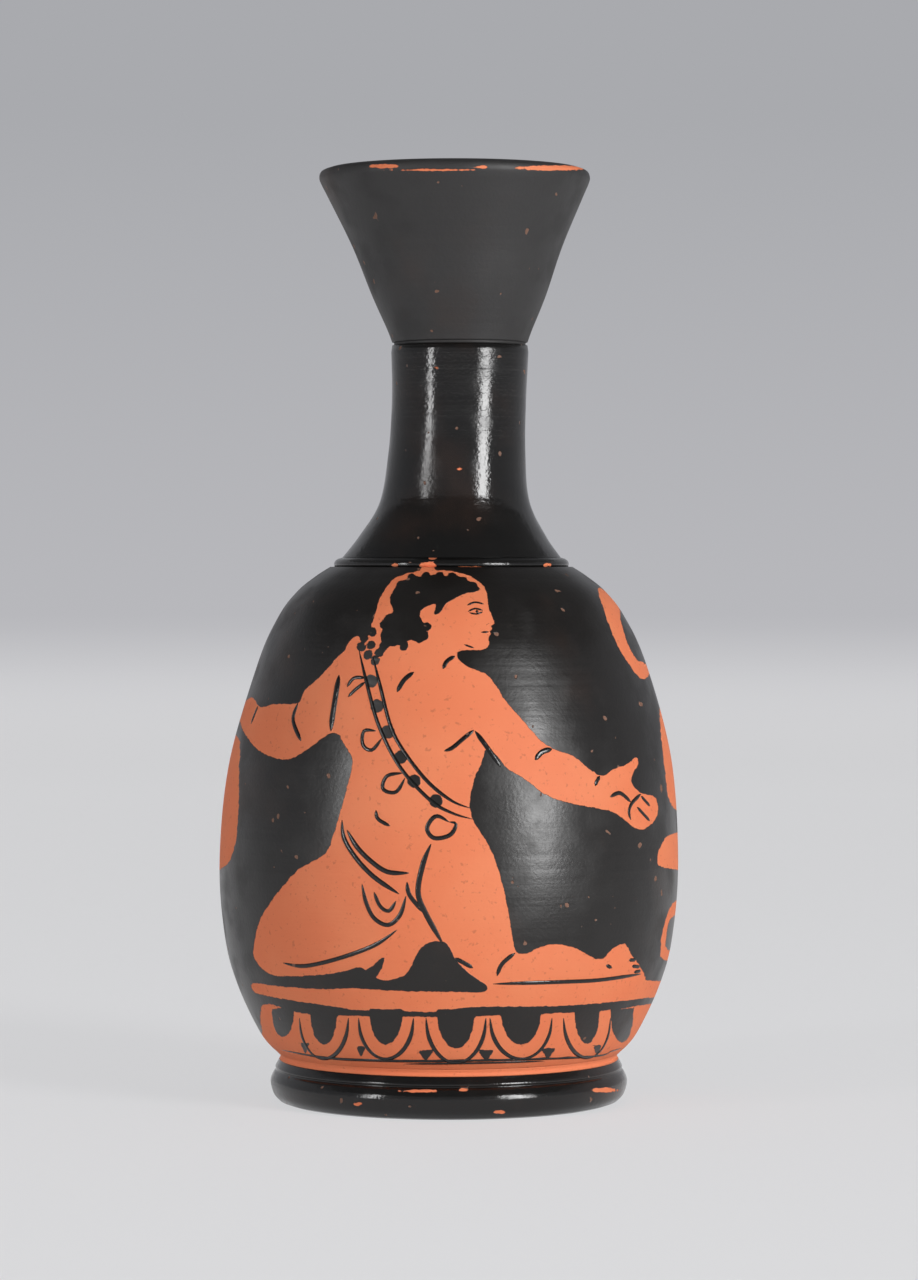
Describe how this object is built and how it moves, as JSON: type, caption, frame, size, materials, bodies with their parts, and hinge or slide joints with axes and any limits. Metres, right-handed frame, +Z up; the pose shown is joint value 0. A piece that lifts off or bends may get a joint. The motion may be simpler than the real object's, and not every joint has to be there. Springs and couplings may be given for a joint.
{
  "type": "miniature lekythos",
  "caption": "Small squat oil flask of fired clay with an egg-shaped hollow body, narrow neck, funnel mouth, strap handle and ring foot, painted in the red-figure way.",
  "frame": {"origin": "centre of the ring foot's resting face", "axes": "+Z up the flask's axis, -Y towards the painted front, +Y towards the handle, +X to the right of the front"},
  "size_m": [0.0542, 0.0542, 0.11],
  "materials": {
    "black_gloss": "glossy black clay slip",
    "painted_gloss": "satin black clay slip with figures left in the clay's orange",
    "worn_gloss": "dull, rubbed black clay slip",
    "bare_clay": "smooth matt orange fired clay"
  },
  "bodies": {
    "root": {"foot": "black_gloss", "foot_luting": "bare_clay", "body": "painted_gloss", "neck_collar": "black_gloss", "neck": "black_gloss", "mouth_luting": "worn_gloss", "mouth": "worn_gloss", "handle": "black_gloss", "handle_upper_luting": "black_gloss", "handle_lower_luting": "black_gloss"}
  },
  "joints": []
}
